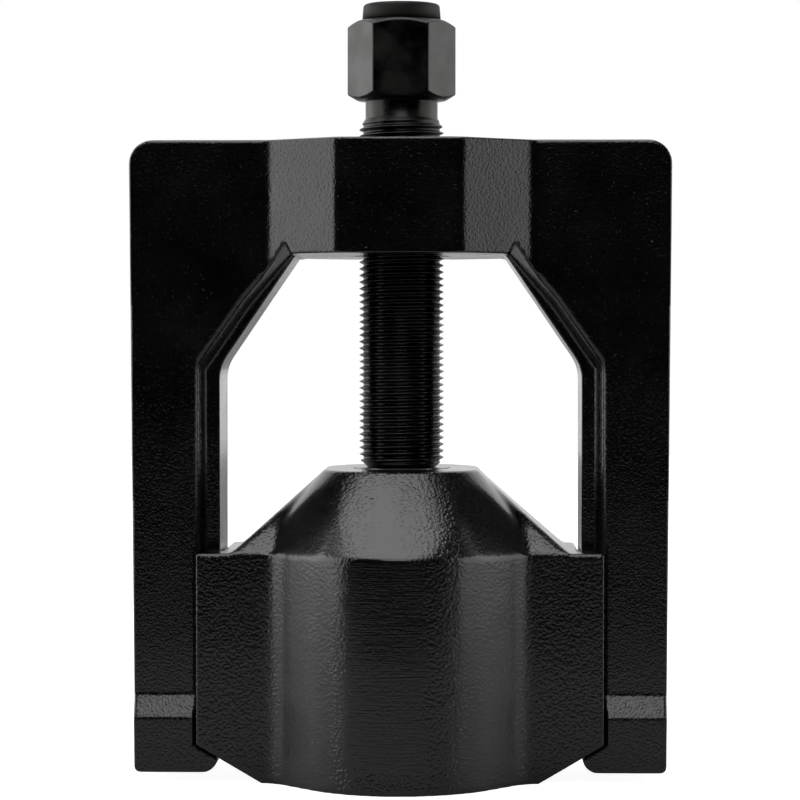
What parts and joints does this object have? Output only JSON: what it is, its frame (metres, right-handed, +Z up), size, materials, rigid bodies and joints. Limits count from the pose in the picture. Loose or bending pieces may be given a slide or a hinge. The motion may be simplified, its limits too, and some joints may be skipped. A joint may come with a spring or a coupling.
{
  "type": "ball joint separator",
  "caption": "Puller-type ball joint separator: cast bridge frame with hooked feet, hexagon-head forcing screw and a bell-shaped receiver that slides between the legs.",
  "frame": {"origin": "on the screw's axis at the level of the receiver's rim, the lowest point of the tool", "axes": "+Z up along the forcing screw to its head, +X across the legs to the right, -Y the front"},
  "size_m": [0.1702, 0.113, 0.2458],
  "materials": {
    "frame_enamel": "glossy black enamel on a rough-cast skin",
    "receiver_enamel": "glossy black enamel on a rough-cast skin, ground along the middle",
    "black_oxide_steel": "machined and blackened, oiled",
    "hardened_steel": "ground",
    "spring_steel": "phosphated"
  },
  "bodies": {
    "frame": {"bridge_frame": "frame_enamel"},
    "receiver": {"receiver_bell": "receiver_enamel", "thrust_washer": "hardened_steel"},
    "screw": {"forcing_screw": "black_oxide_steel", "nose_washer": "hardened_steel", "retaining_ring": "spring_steel"}
  },
  "joints": [
    {"name": "receiver_slide", "type": "slide", "parent": "frame", "child": "receiver", "axis": [0, 0, 1], "range_m": [0, 0.0555]},
    {"name": "screw_spin", "type": "hinge", "parent": "receiver", "child": "screw", "pos_m": [0, 0, 0.1], "axis": [0, 0, 1], "range_deg": [0, 9440]}
  ],
  "couplings": [
    {"joint": "screw_spin", "follows": "receiver_slide", "rad_per_m": 2968.4}
  ]
}
